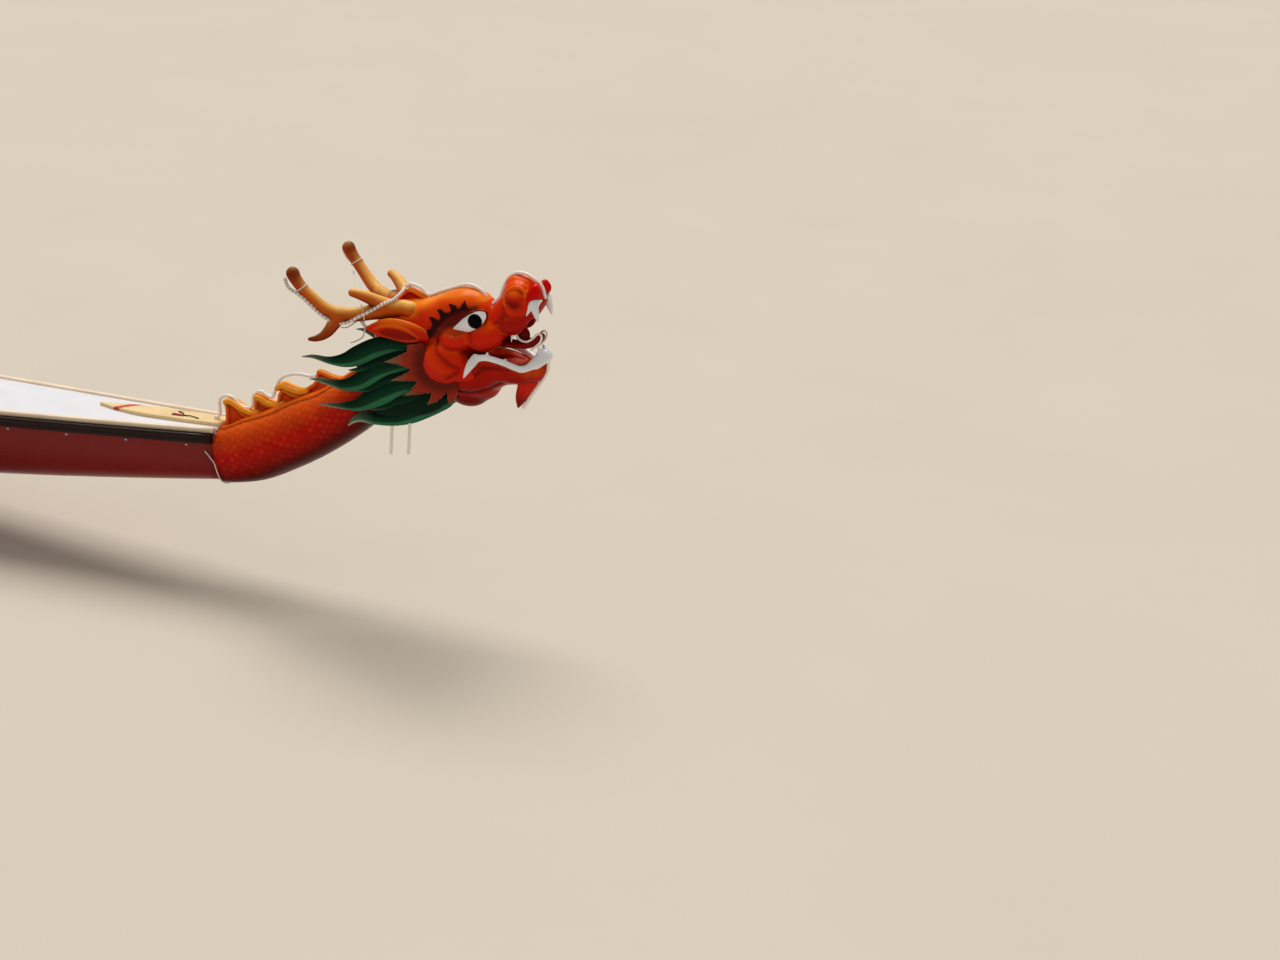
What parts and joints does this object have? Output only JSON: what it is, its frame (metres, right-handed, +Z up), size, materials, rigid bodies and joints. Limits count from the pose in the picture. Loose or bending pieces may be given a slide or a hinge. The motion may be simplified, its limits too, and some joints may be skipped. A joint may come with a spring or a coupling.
{
  "type": "dragon boat",
  "caption": "Long slender paddled racing hull with crowned end decks, benches, a carved dragon head and neck at the bow, a scaled tail and a steering oar at the stern.",
  "frame": {"origin": "on the waterline, amidships, on the centreline", "axes": "+X to the bow, +Y to port, +Z up"},
  "size_m": [18.3163, 1.156, 1.6382],
  "materials": {
    "hull_red": "gloss gelcoat",
    "deck_white": "gloss gelcoat",
    "rail_brown": "satin",
    "cap_cream": "satin",
    "seat_white": "satin gelcoat",
    "base_black": "matt",
    "board_wood": "varnished pale wood",
    "neck_red": "gloss paint, orange towards the top",
    "crest_orange": "gloss paint",
    "face_red": "gloss paint, yellow on the brow",
    "lip_red": "gloss paint",
    "tongue_red": "gloss paint",
    "tooth_white": "gloss paint",
    "horn_yellow": "gloss paint",
    "ruff_brown": "gloss paint",
    "mane_green": "gloss paint, paler edges",
    "brow_dark": "gloss paint",
    "light_tube": "clear milky tube, unlit",
    "steel": "brushed",
    "oar_wood": "varnished"
  },
  "bodies": {
    "boat": {"hull_shell": "hull_red", "bow_deck": "deck_white", "stern_deck": "deck_white", "rail_port": "rail_brown", "rail_starboard": "rail_brown", "cap_port": "cap_cream", "cap_starboard": "cap_cream", "thwart_01": "seat_white", "thwart_02": "seat_white", "thwart_03": "seat_white", "thwart_04": "seat_white", "thwart_05": "seat_white", "thwart_06": "seat_white", "thwart_07": "seat_white", "thwart_08": "seat_white", "thwart_09": "seat_white", "thwart_10": "seat_white", "riser_port": "seat_white", "riser_starboard": "seat_white", "foot_frame": "seat_white", "drummer_seat_base": "base_black", "mounting_board": "board_wood", "rope_light_crest": "light_tube", "rope_light_head": "light_tube", "rope_light_antler_port": "light_tube", "rope_light_antler_starboard": "light_tube", "rope_light_end_aft": "light_tube", "rope_light_end_fore": "light_tube", "eye_port": "tooth_white", "eye_starboard": "tooth_white", "neck": "neck_red", "skull": "face_red", "lower_jaw": "face_red", "upper_lip": "lip_red", "upper_teeth": "tooth_white", "lower_teeth": "tooth_white", "tongue": "tongue_red", "beard": "face_red", "antler_port": "horn_yellow", "antler_starboard": "horn_yellow", "ear_port": "face_red", "ear_starboard": "face_red", "eyebrow_port": "brow_dark", "eyebrow_starboard": "brow_dark", "ruff_port": "ruff_brown", "ruff_starboard": "ruff_brown", "mane_port": "mane_green", "mane_starboard": "mane_green", "head_crest": "crest_orange", "neck_crest": "crest_orange", "tail_body": "neck_red", "tail_crest": "crest_orange", "tail_flames": "mane_green", "tail_flame_aft_high": "mane_green", "tail_flame_aft_low": "mane_green", "tail_flame_fore": "mane_green", "oar_bracket": "steel"},
    "oar_yoke": {"oar_yoke": "steel"},
    "oar": {"steering_oar": "oar_wood"}
  },
  "joints": [
    {"name": "oar_swing", "type": "hinge", "parent": "boat", "child": "oar_yoke", "pos_m": [-6.7, 0.42, 0.65234], "axis": [0, 0, 1], "range_deg": [-30, 12]},
    {"name": "oar_tilt", "type": "hinge", "parent": "oar_yoke", "child": "oar", "pos_m": [-6.7, 0.42, 0.72434], "axis": [0, 1, 0], "range_deg": [-18, 0]}
  ]
}
